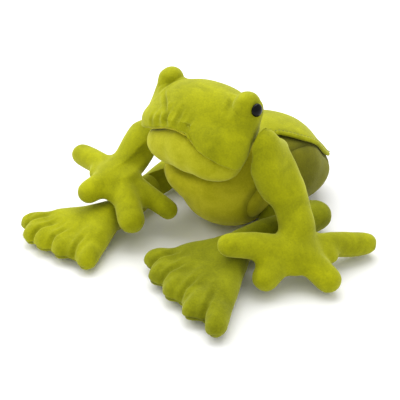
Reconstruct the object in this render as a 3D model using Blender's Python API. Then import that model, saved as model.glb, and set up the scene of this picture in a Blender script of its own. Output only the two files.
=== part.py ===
"""A plush frog hand puppet, sitting with its hands and feet spread in front of it.

The frog faces -Y, its left is +X and +Z is up. The origin is the middle of the flat seat under the torso.
A hand goes in under the back cover, through the glove lining and the neck ring: the fingers work the crown
of the head and the thumb works the lower jaw. Arms and legs are stuffed tubes that flex at their sewn
lines. Each flex line is a ball end here, and the piece before it is cut back so that the ball can turn.

A stuffed shape is given as the balls and tapered tubes that fill its skin. Sizes are in millimetres.
"""

from math import cos, pi, radians, sin

import bmesh
import bpy
from mathutils import Matrix, Vector

MM = 0.001
FAR = 400.0  # longer than anything here, for cutters
FLAT = 1.5  # degrees: faces flatter than this to each other count as one

# Fabric and clearances
SKIN = 4.0  # plush with the batting behind it
LINING = 1.6
GAP = 0.5  # between pieces that a seam joins
FLEX_GAP = 1.6  # around a flex line
LEG_GAP = 2.8  # around a leg, under the hand that rests on it

# Torso
TORSO_BALLS = [
    ((0, 37, 48), (69, 77, 55)),
    ((0, 64, 36), (64, 58, 38)),
    ((0, -4, 52), (60, 46, 57)),
    ((0, -24, 38), (55, 43, 36)),
]
BELLY_HALF_WIDTH = 50.0
HEM = [Vector((0, -18, 104)), Vector((0, 104, 48))]  # the hem of the back cover, seen from the side
HEM_RADIUS = 2.6
# The glove passage, from the rear opening to the neck
PASSAGE_REAR = Vector((0, 128, 18))
PASSAGE_REAR_RADII = (30.0, 12.0)  # across and up
PASSAGE_RADIUS = 30.0
PASSAGE_SIDES = 20

# Neck: head turn, head nod and mouth share this centre
NECK = Vector((0, -34, 92))
NECK_RADIUS = 34.0
NECK_WALL = 4.0
# Angles around the neck, seen from the left side: 0 is forward, 90 is up, 180 is back
MOUTH_ANGLE = 15.0
CROWN_REAR = 108.0
JAW_REAR = -78.0
YOKE_TOP = 152.0
YOKE_LOW = -84.0
HEAD_TURN = 8.0
BELLY_TOP = 66.0  # the jaw never comes lower than this

# Head
CROWN_BALLS = [
    ((0, -42, 124), (58, 40, 33)),
    ((24, -62, 112), (38, 27, 25)),
    ((-24, -62, 112), (38, 27, 25)),
    ((0, -66, 112), (34, 24, 24)),
    ((46, -50, 116), (15, 20, 20)),
    ((-46, -50, 116), (15, 20, 20)),
]
JAW_BALLS = [
    ((20, -56, 89), (38, 30, 21)),
    ((-20, -56, 89), (38, 30, 21)),
    ((0, -60, 90), (34, 28, 20)),
]
POCKET_WALL = 6.0
MOUTH_PLATE = 3.0
BUMP = Vector((50, -38, 145))
BUMP_RADII = (13, 14, 15)
EYE_AIM = Vector((0.97, -0.2, 0.12)).normalized()
EYE_RADIUS = 6.0
EYE_SUNK = 0.5  # its seat below the top of the bump
EYE_ROOM = 0.6  # round the eye in the bump
EYE_STEM = 1.8
STEM_PAST_WASHER = 3.5
WASHER_RADIUS = 6.5
WASHER_THICK = 1.6
WASHER_DEPTH = 8.0  # below the seat
WASHER_GAP = 0.4  # over and under it, and round the stem in the bump
WASHER_BITE = 0.3  # round the stem in the washer

# Limbs
ARM_RADIUS = 18.5
SHIN_RADIUS = 17.0
ARM_INNER = 64.5  # the arms stay this far out, beside the head
FINGER_RADIUS = 12.5
TOE_RADIUS = 11.0
ARMS = {
    "left": {
        "shoulder": Vector((68, -16, 99)),
        "elbow": Vector((83, -22, 71)),
        "wrist": Vector((108, -36, 44)),
        "palm": Vector((113, -46, 30)),
        "fingers": [
            Vector((84, -102, 46)),
            Vector((113, -86, 17)),
            Vector((152, -46, 15)),
            Vector((144, 28, 14)),
        ],
    },
    "right": {
        "shoulder": Vector((-73, -20, 89)),
        "elbow": Vector((-83, -48, 77)),
        "wrist": Vector((-77, -74, 61)),
        "palm": Vector((-73, -94, 56)),
        "fingers": [
            Vector((-134, -92, 55)),
            Vector((-74, -131, 49)),
            Vector((-26, -117, 31)),
            Vector((-23, -75, 25)),
        ],
    },
}
LEGS = {
    "left": {
        "hip": Vector((58, -4, 21)),
        "knee": Vector((86, 28, 21)),
        "ankle": Vector((68, -66, 20)),
        "toes": [
            Vector((16, -130, 13)),
            Vector((36, -144, 12)),
            Vector((62, -151, 12)),
            Vector((94, -157, 12)),
            Vector((127, -153, 12)),
        ],
    },
    "right": {
        "hip": Vector((-58, 6, 21)),
        "knee": Vector((-90, 8, 21)),
        "ankle": Vector((-62, -108, 20)),
        "toes": [
            Vector((-122, -172, 12)),
            Vector((-102, -184, 12)),
            Vector((-82, -184, 12)),
            Vector((-57, -180, 12)),
            Vector((-26, -172, 12)),
        ],
    },
}
# How far each flex line goes from the pose modelled here, in degrees. Arms lift about -X. Legs turn about -Z,
# under the hands that rest on them, so the left leg only goes in and the right leg only goes out.
SWINGS = {
    "left": {"shoulder": 35, "elbow": 30, "wrist": 20, "hip": 8, "knee": 8, "ankle": 15},
    "right": {"shoulder": 35, "elbow": 30, "wrist": 20, "hip": 20, "knee": 30, "ankle": 15},
}
# Degrees at the start of an arm's ranges at which its hand is kept clear of the leg under it
LIFTS = (4.0, 9.0, 15.0)
# Parts of those ranges at which a leg is kept clear of what is around it
LEG_POSES = [
    {"hip": 0.0, "knee": 0.0, "ankle": 0.0},
    {"hip": 1.0, "knee": 0.0, "ankle": 0.0},
    {"hip": 0.0, "knee": 0.5, "ankle": 0.0},
    {"hip": 0.0, "knee": 1.0, "ankle": 0.0},
    {"hip": 0.0, "knee": 0.0, "ankle": 0.5},
    {"hip": 0.0, "knee": 0.0, "ankle": 1.0},
    {"hip": 0.5, "knee": 0.5, "ankle": 0.5},
    {"hip": 1.0, "knee": 1.0, "ankle": 1.0},
]

# Colours
GREEN = (0.36, 0.38, 0.02)
PALE_GREEN = (0.48, 0.48, 0.06)
DEEP_GREEN = (0.24, 0.24, 0.01)
LINING_GREEN = (0.30, 0.33, 0.08)
WADDING = (0.85, 0.85, 0.82)
BLACK = (0.01, 0.01, 0.01)
MILKY = (0.75, 0.75, 0.72)


def clear_scene():
    for obj in list(bpy.data.objects):
        bpy.data.objects.remove(obj)


def material(name, rgb, roughness):
    made = bpy.data.materials.new(name)
    made.use_nodes = True
    shader = made.node_tree.nodes["Principled BSDF"]
    shader.inputs["Base Color"].default_value = (*rgb, 1)
    shader.inputs["Roughness"].default_value = roughness
    shader.inputs["Metallic"].default_value = 0.0
    return made


def linked(name, bm):
    mesh = bpy.data.meshes.new(name)
    bm.to_mesh(mesh)
    bm.free()
    obj = bpy.data.objects.new(name, mesh)
    bpy.context.scene.collection.objects.link(obj)
    return obj


def applied(obj):
    """Swap the mesh for its evaluated one and drop the modifiers."""
    graph = bpy.context.evaluated_depsgraph_get()
    obj.data = bpy.data.meshes.new_from_object(obj.evaluated_get(graph))
    obj.modifiers.clear()
    return obj


def add_ball(bm, centre, radii, detail=3):
    place = Matrix.Translation(Vector(centre) * MM) @ Matrix.Diagonal((*[r * MM for r in radii], 1))
    bmesh.ops.create_icosphere(bm, subdivisions=detail, radius=1.0, matrix=place)


def add_cylinder(bm, start, end, r_start, r_end, segments=24):
    start, end = Vector(start), Vector(end)
    along = end - start
    turn = along.to_track_quat("Z", "Y").to_matrix().to_4x4()
    place = Matrix.Translation((start + end) / 2 * MM) @ turn
    bmesh.ops.create_cone(
        bm,
        cap_ends=True,
        segments=segments,
        radius1=r_start * MM,
        radius2=r_end * MM,
        depth=along.length * MM,
        matrix=place,
    )


def ball(name, centre, radii, detail=3):
    bm = bmesh.new()
    add_ball(bm, centre, radii, detail)
    return linked(name, bm)


def cylinder(name, start, end, radius, segments=24):
    bm = bmesh.new()
    add_cylinder(bm, start, end, radius, radius, segments)
    return linked(name, bm)


def stuffed(name, balls=(), tubes=(), voxel=5.0, relax=4, faces=800, grow=0.0):
    """One skin around balls and tubes (start, end, r_start, r_end), its creases filled as stuffing does."""
    bm = bmesh.new()
    for centre, radii in balls:
        add_ball(bm, centre, [r + grow for r in radii])
    for start, end, r_start, r_end in tubes:
        add_ball(bm, start, (r_start + grow,) * 3)
        add_ball(bm, end, (r_end + grow,) * 3)
        add_cylinder(bm, start, end, r_start + grow, r_end + grow)
    obj = linked(name, bm)
    remesh = obj.modifiers.new("skin", "REMESH")
    remesh.mode = "VOXEL"
    remesh.voxel_size = voxel * MM
    smooth = obj.modifiers.new("relax", "SMOOTH")
    smooth.factor = 0.5
    smooth.iterations = relax
    applied(obj)
    thin = obj.modifiers.new("thin", "DECIMATE")
    thin.ratio = min(1.0, faces / (2 * len(obj.data.polygons)))
    return applied(obj)


def copy_of(obj, name, grow=0.0):
    """A twin of a solid, its skin moved out by grow."""
    twin = bpy.data.objects.new(name, obj.data.copy())
    bpy.context.scene.collection.objects.link(twin)
    if grow:
        moved = twin.modifiers.new("grow", "DISPLACE")
        moved.mid_level = 0.0
        moved.strength = grow * MM
        applied(twin)
    return twin


def cut_to_triangles(obj):
    bm = bmesh.new()
    bm.from_mesh(obj.data)
    bmesh.ops.triangulate(bm, faces=bm.faces)
    bm.to_mesh(obj.data)
    bm.free()


def body_volume(faces):
    """The volume that a closed body's triangles hold."""
    total = 0.0
    for face in faces:
        a, b, c = (v.co for v in face.verts)
        total += a.dot(b.cross(c)) / 6
    return total


def largest_body(obj):
    """Keep only the largest body of a mesh: scraps of cloth at a seam's end are cut away."""
    bm = bmesh.new()
    bm.from_mesh(obj.data)
    bmesh.ops.dissolve_limit(bm, angle_limit=radians(FLAT), verts=bm.verts, edges=bm.edges)
    bmesh.ops.triangulate(bm, faces=bm.faces)
    left = set(bm.faces)
    bodies = []
    while left:
        grown = [left.pop()]
        body = set(grown)
        while grown:
            face = grown.pop()
            near = {n for e in face.edges for n in e.link_faces} - body
            body |= near
            grown.extend(near)
        left -= body
        bodies.append(body)
    bodies.sort(key=body_volume, reverse=True)
    scraps = [f for body in bodies[1:] for f in body]
    bmesh.ops.delete(bm, geom=scraps, context="FACES")
    bm.to_mesh(obj.data)
    bm.free()
    return obj


def combined(obj, tool, operation, keep=False):
    """One Boolean. EXACT left open edges where these smooth skins graze each other, so MANIFOLD does it."""
    boolean = obj.modifiers.new(operation.lower(), "BOOLEAN")
    boolean.operation = operation
    boolean.solver = "MANIFOLD"
    boolean.object = tool
    applied(obj)
    cut_to_triangles(obj)
    if not keep:
        bpy.data.objects.remove(tool)
    return obj


def minus(obj, tool, keep=False):
    return combined(obj, tool, "DIFFERENCE", keep)


def within(obj, tool, keep=False):
    return combined(obj, tool, "INTERSECT", keep)


def joined(obj, tool):
    return combined(obj, tool, "UNION")


def block(name, low, high):
    bm = bmesh.new()
    low, high = Vector(low), Vector(high)
    place = Matrix.Translation((low + high) / 2 * MM) @ Matrix.Diagonal((*(high - low) * MM, 1))
    bmesh.ops.create_cube(bm, size=1.0, matrix=place)
    return linked(name, bm)


def outline_prism(name, points, half_width=FAR):
    """An outline in the side view, as (y, z) points, carried through along X."""
    bm = bmesh.new()
    face = bm.faces.new([bm.verts.new((-half_width * MM, y * MM, z * MM)) for y, z in points])
    swept = bmesh.ops.extrude_face_region(bm, geom=[face])
    moved = [v for v in swept["geom"] if isinstance(v, bmesh.types.BMVert)]
    bmesh.ops.translate(bm, verts=moved, vec=(2 * half_width * MM, 0, 0))
    bmesh.ops.recalc_face_normals(bm, faces=bm.faces)
    return linked(name, bm)


def around_neck(angle, distance, lift=0.0):
    """A (y, z) point at an angle around the neck, moved up its own normal by lift."""
    a = radians(angle)
    y = NECK.y - distance * cos(a) + lift * sin(a)
    z = NECK.z + distance * sin(a) + lift * cos(a)
    return (y, z)


def sector(name, low, high):
    """The wedge between two angles around the neck."""
    steps = max(2, int((high - low) / 45))
    rim = [around_neck(low + (high - low) * k / steps, 2 * FAR) for k in range(steps + 1)]
    return outline_prism(name, [around_neck(low, 0)] + rim)


def hem_side(name, lift, up):
    """Everything above or below the hem line, moved up square to it by lift."""
    front, rear = HEM
    along = (rear - front).normalized()
    square = Vector((0, -along.z, along.y))
    a = front - along * FAR + square * lift
    b = rear + along * FAR + square * lift
    away = square * (2 * FAR if up else -2 * FAR)
    return outline_prism(name, [(p.y, p.z) for p in (a, b, b + away, a + away)])


def torso_solid(name, grow, faces):
    obj = stuffed(name, TORSO_BALLS, faces=faces, grow=grow, voxel=6.0)
    return minus(obj, block("floor", (-FAR, -FAR, -FAR), (FAR, FAR, -grow)))


def head_space(name):
    """The room the head needs in front of the yoke and over the belly, at both ends of its turn."""
    space = sector(name, YOKE_LOW, YOKE_TOP)
    pivot = Matrix.Translation(NECK * MM)
    for turn in (-HEAD_TURN, HEAD_TURN):
        turned = sector("turned", YOKE_LOW, YOKE_TOP)
        turned.data.transform(pivot @ Matrix.Rotation(radians(turn), 4, "Z") @ pivot.inverted())
        joined(space, turned)
    within(space, block("over_belly", (-FAR, -FAR, BELLY_TOP), (FAR, FAR, FAR)))
    return joined(space, ball("neck_room", NECK, (NECK_RADIUS + FLEX_GAP,) * 3))


def passage(name, grow, reach=0.0):
    """The tapered way from the rear opening to the neck, run on by reach at both ends."""
    bm = bmesh.new()
    along = (NECK - PASSAGE_REAR).normalized()
    wide, high = PASSAGE_REAR_RADII
    ends = (
        (PASSAGE_REAR - along * reach, wide + grow, high + grow),
        (NECK + along * reach, PASSAGE_RADIUS + grow, PASSAGE_RADIUS + grow),
    )
    rings = []
    for centre, across, up in ends:
        turns = [2 * pi * k / PASSAGE_SIDES for k in range(PASSAGE_SIDES)]
        places = [centre + Vector((across * cos(t), 0, up * sin(t))) for t in turns]
        rings.append([bm.verts.new(place * MM) for place in places])
        bm.faces.new(rings[-1])
    for k in range(PASSAGE_SIDES):
        following = (k + 1) % PASSAGE_SIDES
        bm.faces.new((rings[0][k], rings[0][following], rings[1][following]))
        bm.faces.new((rings[0][k], rings[1][following], rings[1][k]))
    bmesh.ops.recalc_face_normals(bm, faces=bm.faces)
    return linked(name, bm)


def make_torso():
    """Four skin panels and a hem over the stuffing, with the glove lining through it."""
    room = head_space("room")
    hole = passage("hole", LINING + 2 * GAP)
    inner = torso_solid("inner", -SKIN, 400)
    skin = minus(torso_solid("skin", 0.0, 600), inner, keep=True)
    for cutter in (room, hole):
        minus(skin, cutter, keep=True)

    stuffing = copy_of(inner, "stuffing", -GAP)
    for cutter in (room, hole):
        minus(stuffing, cutter, keep=True)

    cover = within(copy_of(skin, "back_cover"), hem_side("up", HEM_RADIUS + GAP, True))
    lower = within(skin, hem_side("down", -HEM_RADIUS - GAP, False))
    w = BELLY_HALF_WIDTH
    belly = within(copy_of(lower, "belly_panel"), block("mid", (-w, -FAR, -FAR), (w, FAR, FAR)))
    left = within(copy_of(lower, "side_panel_left"), block("l", (w + GAP, -FAR, -FAR), (FAR, FAR, FAR)))
    right = within(lower, block("r", (-FAR, -FAR, -FAR), (-w - GAP, FAR, FAR)))
    right.name = "side_panel_right"

    band = minus(torso_solid("hem_binding", 2.0, 500), inner)
    within(band, hem_side("up", -HEM_RADIUS, True))
    within(band, hem_side("down", HEM_RADIUS, False))
    for cutter in (room, hole):
        minus(band, cutter)

    lining = passage("glove_lining", LINING)
    minus(lining, passage("bore", 0.0, reach=4.0))
    within(lining, torso_solid("outer", 0.0, 500))
    minus(lining, ball("neck_end", NECK, (NECK_RADIUS + FLEX_GAP,) * 3))
    return [cover, belly, left, right, band, stuffing, lining]


def make_neck():
    ring = ball("neck_ring", NECK, (NECK_RADIUS,) * 3)
    minus(ring, ball("inside", NECK, (NECK_RADIUS - NECK_WALL,) * 3))
    axis = (PASSAGE_REAR - NECK).normalized()
    front = NECK - axis * NECK_RADIUS * 0.45
    minus(ring, cylinder("front", front, NECK - axis * FAR, NECK_RADIUS * 2))
    back = NECK + axis * NECK_RADIUS * 0.45
    minus(ring, cylinder("back", back, NECK + axis * FAR, NECK_RADIUS * 2))
    return [ring]


def mouth_side(name, lift, up):
    """Everything on one side of the mouth plane, moved up square to it by lift."""
    back = around_neck(MOUTH_ANGLE, -FAR, lift)
    front = around_neck(MOUTH_ANGLE, FAR, lift)
    away = 2 * FAR if up else -2 * FAR
    return outline_prism(name, [back, front, (front[0], front[1] + away), (back[0], back[1] + away)])


def make_head_half(shell_name, plate_name, balls, low, high):
    """A hollow half of the head and the plate that faces the mouth."""
    up = high > MOUTH_ANGLE
    side = 1 if up else -1
    shell = stuffed(shell_name, balls, faces=500)
    whole = copy_of(shell, "whole", GAP)
    within(shell, sector("half", low, high))
    plate = copy_of(shell, plate_name)
    minus(shell, stuffed("pocket", balls, grow=-POCKET_WALL, faces=260))
    near = GAP * 0.8
    within(plate, mouth_side("near", side * near, up))
    minus(plate, mouth_side("far", side * (near + MOUTH_PLATE), up))
    within(shell, mouth_side("rest", side * (near + MOUTH_PLATE + GAP), up))
    for piece in (shell, plate):
        minus(piece, ball("neck_end", NECK, (NECK_RADIUS + FLEX_GAP,) * 3))
    return [shell, plate], whole


def make_eye(side, sign, crown):
    """A fabric bump on the crown with a domed eye on a stem, and the washer that locks the stem inside."""
    centre = Vector((sign * BUMP.x, BUMP.y, BUMP.z))
    aim = Vector((sign * EYE_AIM.x, EYE_AIM.y, EYE_AIM.z))
    bump = ball("eye_bump_" + side, centre, BUMP_RADII, 2)
    minus(bump, crown, keep=True)
    seat = centre + aim * (BUMP_RADII[0] - EYE_SUNK)
    shelf = seat - aim * WASHER_DEPTH
    root = shelf - aim * STEM_PAST_WASHER
    washer_top = shelf - aim * WASHER_GAP
    washer_low = washer_top - aim * WASHER_THICK
    minus(bump, cylinder("stem_hole", root, seat + aim * FAR, EYE_STEM + WASHER_GAP, 16))
    minus(bump, cylinder("pocket", washer_low - aim * WASHER_GAP, shelf, WASHER_RADIUS + GAP, 20))
    minus(bump, cylinder("eye_room", seat + aim * WASHER_GAP, seat + aim * FAR, EYE_RADIUS + EYE_ROOM, 24))

    eye = ball("eye_" + side, seat + aim * (EYE_SUNK + 0.1), (EYE_RADIUS,) * 3, 2)
    minus(eye, cylinder("behind", seat + aim * (EYE_SUNK + WASHER_BITE), seat - aim * FAR, EYE_RADIUS * 3))
    joined(eye, cylinder("stem", root + aim * 0.6, seat + aim * EYE_RADIUS / 2, EYE_STEM, 12))

    washer = cylinder("eye_washer_" + side, washer_low, washer_top, WASHER_RADIUS, 20)
    minus(washer, cylinder("washer_hole", root, seat, EYE_STEM + WASHER_BITE, 16))
    return [bump, eye, washer]


def swing_axis(joint):
    return Vector((0, 0, -1)) if joint in ("hip", "knee", "ankle") else Vector((-1, 0, 0))


def swings(joint, side):
    """Angles over the range of a flex line, a little past its ends."""
    reach = SWINGS[side][joint]
    return [radians(a) for a in (-2, reach / 2, reach + 2)]


def turn_about(centre, axis, angle):
    place = Matrix.Translation(centre * MM)
    return place @ Matrix.Rotation(angle, 4, axis) @ place.inverted()


def flex_room(joint, limb, side, far_end, radius):
    """The space that a tube sweeps when it turns at its near end."""
    centre = limb[joint]
    axis = swing_axis(joint)
    room = None
    for angle in swings(joint, side):
        bm = bmesh.new()
        add_cylinder(bm, centre, far_end, radius, radius, 16)
        tube = linked("swept", bm)
        tube.data.transform(turn_about(centre, axis, angle))
        room = tube if room is None else joined(room, tube)
    return joined(room, ball("socket", centre, (radius,) * 3, 2))


def split_flat(obj, top_name, low_name, centre, normal):
    """Two sewn panels: the solid above and below a plane."""
    under = block("under", (-FAR, -FAR, -FAR), (FAR, FAR, 0))
    over = block("over", (-FAR, -FAR, 0), (FAR, FAR, FAR))
    turn = normal.to_track_quat("Z", "Y").to_matrix().to_4x4()
    under.data.transform(Matrix.Translation((centre + normal * GAP / 2) * MM) @ turn)
    over.data.transform(Matrix.Translation((centre - normal * GAP / 2) * MM) @ turn)
    low = copy_of(obj, low_name)
    obj.name = top_name
    minus(obj, under)
    minus(low, over)
    return [obj, low]


def limb_tube(name, start, end, radius, faces):
    """A stuffed tube with a ball at its own joint, stopping where the next joint's room begins."""
    stop = end - (end - start).normalized() * radius
    return stuffed(name, tubes=[(start, stop, radius, radius)], faces=faces)


def foot_tubes(limb, radius, grow=0.0):
    """The heel and the toes, fanned out from the ankle."""
    ankle, middle = limb["ankle"], limb["toes"][2]
    tubes = [(ankle, tip, radius - 3 + grow, TOE_RADIUS + grow) for tip in limb["toes"]]
    return tubes + [(ankle, ankle.lerp(middle, 0.4), radius - 1 + grow, radius - 3 + grow)]


def leg_room(side, limb):
    """The space that the shin and foot sweep, for the torso beside them and the hand that rests on them."""
    shin = [(limb["knee"], limb["ankle"], SHIN_RADIUS, SHIN_RADIUS)]
    moving = ((shin, ("hip", "knee")), (foot_tubes(limb, SHIN_RADIUS), ("hip", "knee", "ankle")))
    room = None
    for parts in LEG_POSES:
        for tubes, joints in moving:
            shape = stuffed("leg", tubes=tubes, relax=1, faces=400, grow=LEG_GAP)
            place = Matrix.Identity(4)
            for joint in joints:
                angle = radians(SWINGS[side][joint] * parts[joint])
                place = place @ turn_about(limb[joint], swing_axis(joint), angle)
            shape.data.transform(place)
            room = shape if room is None else joined(room, shape)
    return room


def make_arm(side, sign, limb, torso):
    r = ARM_RADIUS
    shoulder, elbow, wrist, palm = (limb[k] for k in ("shoulder", "elbow", "wrist", "palm"))
    upper = limb_tube("upper_arm_" + side, shoulder, elbow, r, 150)
    minus(upper, flex_room("elbow", limb, side, wrist, r + FLEX_GAP))
    fore = limb_tube("forearm_" + side, elbow, wrist, r, 150)
    minus(fore, flex_room("wrist", limb, side, palm, r - 2 + FLEX_GAP))
    tubes = [(palm, tip, FINGER_RADIUS, FINGER_RADIUS) for tip in limb["fingers"]]
    tubes.append((wrist, palm, r - 2, FINGER_RADIUS + 1))
    hand = stuffed("hand", [(palm, (22, 22, 14))], tubes, voxel=3.5, relax=3, faces=480)
    room = leg_room(side, LEGS[side])
    minus(hand, room, keep=True)
    for joint in ("shoulder", "elbow", "wrist"):
        for angle in LIFTS:
            lifted = copy_of(room, "lifted")
            lifted.data.transform(turn_about(limb[joint], swing_axis(joint), radians(-angle)))
            minus(hand, lifted)
    bpy.data.objects.remove(room)
    across = limb["fingers"][3] - limb["fingers"][0]
    ahead = limb["fingers"][1] + limb["fingers"][2] - 2 * palm
    normal = across.cross(ahead).normalized()
    if normal.z < 0:
        normal = -normal
    panels = split_flat(hand, "hand_back_" + side, "hand_palm_" + side, palm, normal)
    near, far = sorted((0, sign * ARM_INNER))
    for piece in (upper, fore):
        minus(piece, block("beside_head", (near, -FAR, -FAR), (far, FAR, FAR)))
    shoulder_room = flex_room("shoulder", limb, side, elbow, r + FLEX_GAP)
    for piece in torso:
        minus(piece, shoulder_room, keep=True)
    bpy.data.objects.remove(shoulder_room)
    return [upper, fore] + panels


def make_leg(side, limb, torso):
    r = SHIN_RADIUS
    hip, knee, ankle = (limb[k] for k in ("hip", "knee", "ankle"))
    thigh = limb_tube("thigh_" + side, hip, knee, r, 150)
    minus(thigh, flex_room("knee", limb, side, ankle, r + FLEX_GAP))
    shin = limb_tube("shin_" + side, knee, ankle, r, 220)
    minus(shin, flex_room("ankle", limb, side, ankle.lerp(limb["toes"][2], 0.5), r + FLEX_GAP))
    foot = stuffed("foot", tubes=foot_tubes(limb, r), voxel=3.5, relax=3, faces=560)
    panels = split_flat(foot, "foot_top_" + side, "foot_sole_" + side, Vector((0, 0, 11)), Vector((0, 0, 1)))
    rooms = [flex_room("hip", limb, side, knee, r + FLEX_GAP), leg_room(side, limb)]
    for room in rooms:
        for piece in torso:
            minus(piece, room, keep=True)
        bpy.data.objects.remove(room)
    return [thigh, shin] + panels


def dress(pieces, made):
    for piece in pieces:
        largest_body(piece)
        piece.data.materials.clear()
        piece.data.materials.append(made)


def main():
    clear_scene()
    green = material("green_plush", GREEN, 0.9)
    pale = material("pale_plush", PALE_GREEN, 0.9)
    deep = material("belly_plush", DEEP_GREEN, 0.9)
    lining = material("lining_knit", LINING_GREEN, 0.95)
    wadding = material("wadding", WADDING, 1.0)
    black = material("black_plastic", BLACK, 0.08)
    milky = material("washer_plastic", MILKY, 0.5)

    torso = make_torso()
    neck = make_neck()
    jaw, jaw_whole = make_head_half("jaw_shell", "mouth_floor", JAW_BALLS, JAW_REAR, MOUTH_ANGLE)
    crown, crown_whole = make_head_half("crown_shell", "mouth_roof", CROWN_BALLS, MOUTH_ANGLE, CROWN_REAR)
    for side, sign in (("left", 1), ("right", -1)):
        bump, eye, washer = make_eye(side, sign, crown_whole)
        dress([bump], green)
        dress([eye], black)
        dress([washer], milky)
        dress(make_arm(side, sign, ARMS[side], torso), green)
        dress(make_leg(side, LEGS[side], torso), green)
    dress([torso[0], torso[4]] + crown, green)
    dress(jaw, pale)
    dress(torso[1:4], deep)
    dress([torso[5]], wadding)
    dress([torso[6]] + neck, lining)
    for tool in (jaw_whole, crown_whole):
        bpy.data.objects.remove(tool)


main()
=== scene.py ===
"""The looks of a plush frog hand puppet: velour skins, sewn seams, glossy eyes and the glove lining.

The frog faces -Y, its left is +X and +Z is up. Sizes are in millimetres and meshes are in metres.
"""

import logging
from collections.abc import Sequence
from dataclasses import dataclass, field
from enum import Enum
from math import cos, pi, radians, sin, tan

import bmesh
import bpy
import numpy as np
from mathutils import Matrix, Vector
from mathutils.bvhtree import BVHTree

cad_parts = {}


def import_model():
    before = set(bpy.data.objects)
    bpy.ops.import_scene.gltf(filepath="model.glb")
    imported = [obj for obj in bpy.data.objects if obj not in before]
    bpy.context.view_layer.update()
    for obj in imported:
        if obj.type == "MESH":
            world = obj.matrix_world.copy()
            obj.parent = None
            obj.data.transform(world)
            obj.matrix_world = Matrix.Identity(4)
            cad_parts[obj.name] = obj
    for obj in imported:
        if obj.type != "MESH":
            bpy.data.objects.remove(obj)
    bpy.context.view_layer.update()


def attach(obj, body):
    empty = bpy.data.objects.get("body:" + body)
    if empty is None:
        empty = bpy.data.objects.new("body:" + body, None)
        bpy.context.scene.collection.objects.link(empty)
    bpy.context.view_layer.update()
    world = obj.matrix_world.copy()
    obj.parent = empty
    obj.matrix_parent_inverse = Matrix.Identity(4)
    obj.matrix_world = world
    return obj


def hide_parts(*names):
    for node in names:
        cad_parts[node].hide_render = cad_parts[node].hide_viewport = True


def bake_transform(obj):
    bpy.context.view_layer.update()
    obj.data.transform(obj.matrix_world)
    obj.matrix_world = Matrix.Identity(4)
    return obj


LOG = logging.getLogger("frog puppet")
MM = 0.001
FAR = 400.0
Obj = bpy.types.Object
Point = tuple[float, float, float]


class Side(Enum):
    """The frog's own left and right."""

    LEFT = 1
    RIGHT = -1

    @property
    def word(self) -> str:
        """The side as it ends a piece's name."""
        return self.name.lower()


# ---------------------------------------------------------------- finishes


def linear(code: str) -> tuple[float, float, float, float]:
    """Turn an sRGB hex colour to linear RGBA.

    Args:
        code: The colour, such as "#a0a010".

    Returns:
        Linear red, green, blue and an alpha of one.
    """
    values = [int(code[k : k + 2], 16) / 255 for k in (1, 3, 5)]
    curve = [v / 12.92 if v <= 0.04045 else ((v + 0.055) / 1.055) ** 2.4 for v in values]
    return (curve[0], curve[1], curve[2], 1.0)


def add_node(
    tree: bpy.types.NodeTree,
    kind: str,
    settings: dict | None = None,
    links: dict | None = None,
) -> bpy.types.Node:
    """Add one node with its settings and links.

    Args:
        tree: The node tree it goes in.
        kind: The node's type name.
        settings: Attributes by name, and socket values by their input name or number.
        links: Output sockets by the input name or number they feed.

    Returns:
        The new node.
    """
    node = tree.nodes.new(kind)
    for key, value in (settings or {}).items():
        if isinstance(key, str) and hasattr(node, key):
            setattr(node, key, value)
        else:
            node.inputs[key].default_value = value
    for key, socket in (links or {}).items():
        tree.links.new(socket, node.inputs[key])
    return node


@dataclass(frozen=True)
class Velour:
    """Polyester plush with a short cut pile, sewn pile side out: matt head-on, pale where it is seen edge-on."""

    name: str
    laid: str  # pile lying away from the light
    brushed: str  # pile standing up to it
    painted_shade_colour: str  # painted shade, deep in a fold or seam
    sheen: float = 0.9
    patch_mm: float = 24.0  # how far apart the pile changes its lean
    tuft_mm: float = 1.6  # real tufts are 0.3 mm: drawn coarser, so that they show

    def made(self) -> bpy.types.Material:
        """Build the material."""
        made = bpy.data.materials.new(self.name)
        made.use_nodes = True
        tree = made.node_tree
        tree.nodes.clear()
        place = add_node(tree, "ShaderNodeTexCoord").outputs["Object"]
        patch = add_node(
            tree,
            "ShaderNodeTexNoise",
            {"Scale": 1 / (self.patch_mm * MM), "Detail": 3.0, "Roughness": 0.6, "Distortion": 0.7},
            {"Vector": place},
        )
        tuft = add_node(
            tree,
            "ShaderNodeTexNoise",
            {"Scale": 1 / (self.tuft_mm * MM), "Detail": 2.0, "Roughness": 0.7},
            {"Vector": place},
        )
        both = add_node(
            tree,
            "ShaderNodeMix",
            {"data_type": "FLOAT", "Factor": 0.38},
            {"A": patch.outputs["Fac"], "B": tuft.outputs["Fac"]},
        )
        lean = add_node(
            tree,
            "ShaderNodeMapRange",
            {"From Min": 0.36, "From Max": 0.66},
            {"Value": both.outputs["Result"]},
        )
        pile = add_node(
            tree,
            "ShaderNodeMix",
            {"data_type": "RGBA", 6: linear(self.laid), 7: linear(self.brushed)},
            {"Factor": lean.outputs["Result"]},
        )
        # Painted shade: a per-point attribute mixes the dark colour into creases, seams, dimples and where pieces
        # touch.
        painted_shade = add_node(tree, "ShaderNodeAttribute", {"attribute_name": "painted_shade"})
        shade = add_node(
            tree,
            "ShaderNodeMix",
            {"data_type": "RGBA", 7: linear(self.painted_shade_colour)},
            {"Factor": painted_shade.outputs["Fac"], 6: pile.outputs[2]},
        )
        bump = add_node(
            tree,
            "ShaderNodeBump",
            {"Strength": 0.55, "Distance": 0.5 * MM},
            {"Height": tuft.outputs["Fac"]},
        )
        cloth = add_node(
            tree,
            "ShaderNodeBsdfPrincipled",
            {
                "Roughness": 0.88,
                "IOR": 1.45,
                "Specular IOR Level": 0.2,
                "Sheen Weight": self.sheen,
                "Sheen Roughness": 0.42,
                "Sheen Tint": linear("#e6e88c"),
            },
            {"Base Color": shade.outputs[2], "Normal": bump.outputs["Normal"]},
        )
        add_node(tree, "ShaderNodeOutputMaterial", None, {"Surface": cloth.outputs["BSDF"]})
        return made


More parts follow.
